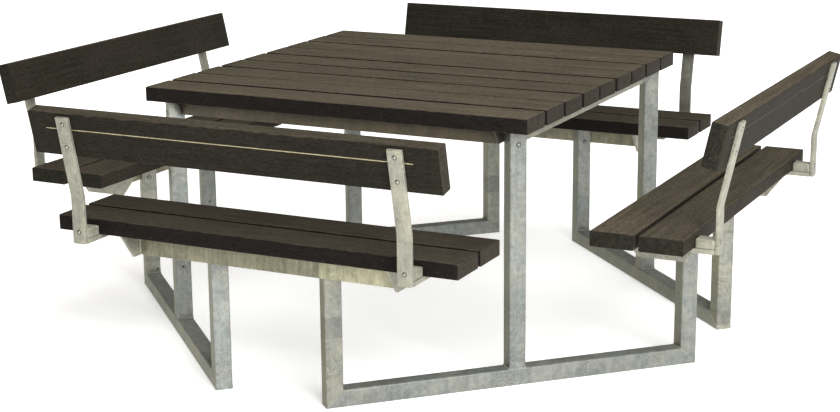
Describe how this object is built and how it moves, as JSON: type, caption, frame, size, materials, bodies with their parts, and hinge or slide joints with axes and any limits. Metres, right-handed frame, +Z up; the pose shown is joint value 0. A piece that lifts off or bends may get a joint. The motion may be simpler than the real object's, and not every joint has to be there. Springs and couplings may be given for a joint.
{
  "type": "picnic table",
  "caption": "Square picnic table with a planked top, benches with backrests on every side, and a galvanised square-tube frame.",
  "frame": {"origin": "on the floor, under the middle of the table top", "axes": "+Z up; the table's boards run along X, and a bench faces each of the four sides, so -Y is the front bench"},
  "size_m": [2.274, 2.274, 0.7825],
  "materials": {
    "plank": "recycled plastic plank, brushed wood-like grain, dark brown-grey, matt",
    "galvanised": "hot-dip galvanised steel, dull spangle with runs and stains",
    "strip": "galvanised reinforcing strip"
  },
  "bodies": {
    "root": {"back_bench_back_plank": "plank", "back_bench_back_post_left": "galvanised", "back_bench_back_post_right": "galvanised", "back_bench_back_strip": "strip", "back_bench_seat_bearer_left": "galvanised", "back_bench_seat_bearer_right": "galvanised", "back_bench_seat_plank_inner": "plank", "back_bench_seat_plank_outer": "plank", "back_bench_seat_rail": "galvanised", "front_bench_back_plank": "plank", "front_bench_back_post_left": "galvanised", "front_bench_back_post_right": "galvanised", "front_bench_back_strip": "strip", "front_bench_seat_bearer_left": "galvanised", "front_bench_seat_bearer_right": "galvanised", "front_bench_seat_plank_inner": "plank", "front_bench_seat_plank_outer": "plank", "front_bench_seat_rail": "galvanised", "left_bench_back_plank": "plank", "left_bench_back_post_left": "galvanised", "left_bench_back_post_right": "galvanised", "left_bench_back_strip": "strip", "left_bench_seat_bearer_left": "galvanised", "left_bench_seat_bearer_right": "galvanised", "left_bench_seat_plank_inner": "plank", "left_bench_seat_plank_outer": "plank", "left_bench_seat_rail": "galvanised", "leg_frame_back_left": "galvanised", "leg_frame_back_right": "galvanised", "leg_frame_front_left": "galvanised", "leg_frame_front_right": "galvanised", "right_bench_back_plank": "plank", "right_bench_back_post_left": "galvanised", "right_bench_back_post_right": "galvanised", "right_bench_back_strip": "strip", "right_bench_seat_bearer_left": "galvanised", "right_bench_seat_bearer_right": "galvanised", "right_bench_seat_plank_inner": "plank", "right_bench_seat_plank_outer": "plank", "right_bench_seat_rail": "galvanised", "table_apron_back": "galvanised", "table_apron_front": "galvanised", "table_bearer_left": "galvanised", "table_bearer_right": "galvanised", "table_board_1": "plank", "table_board_2": "plank", "table_board_3": "plank", "table_board_4": "plank", "table_board_5": "plank", "table_board_6": "plank", "table_board_7": "plank", "table_board_8": "plank", "table_board_9": "plank", "table_side_rail_left": "galvanised", "table_side_rail_right": "galvanised"}
  },
  "joints": []
}
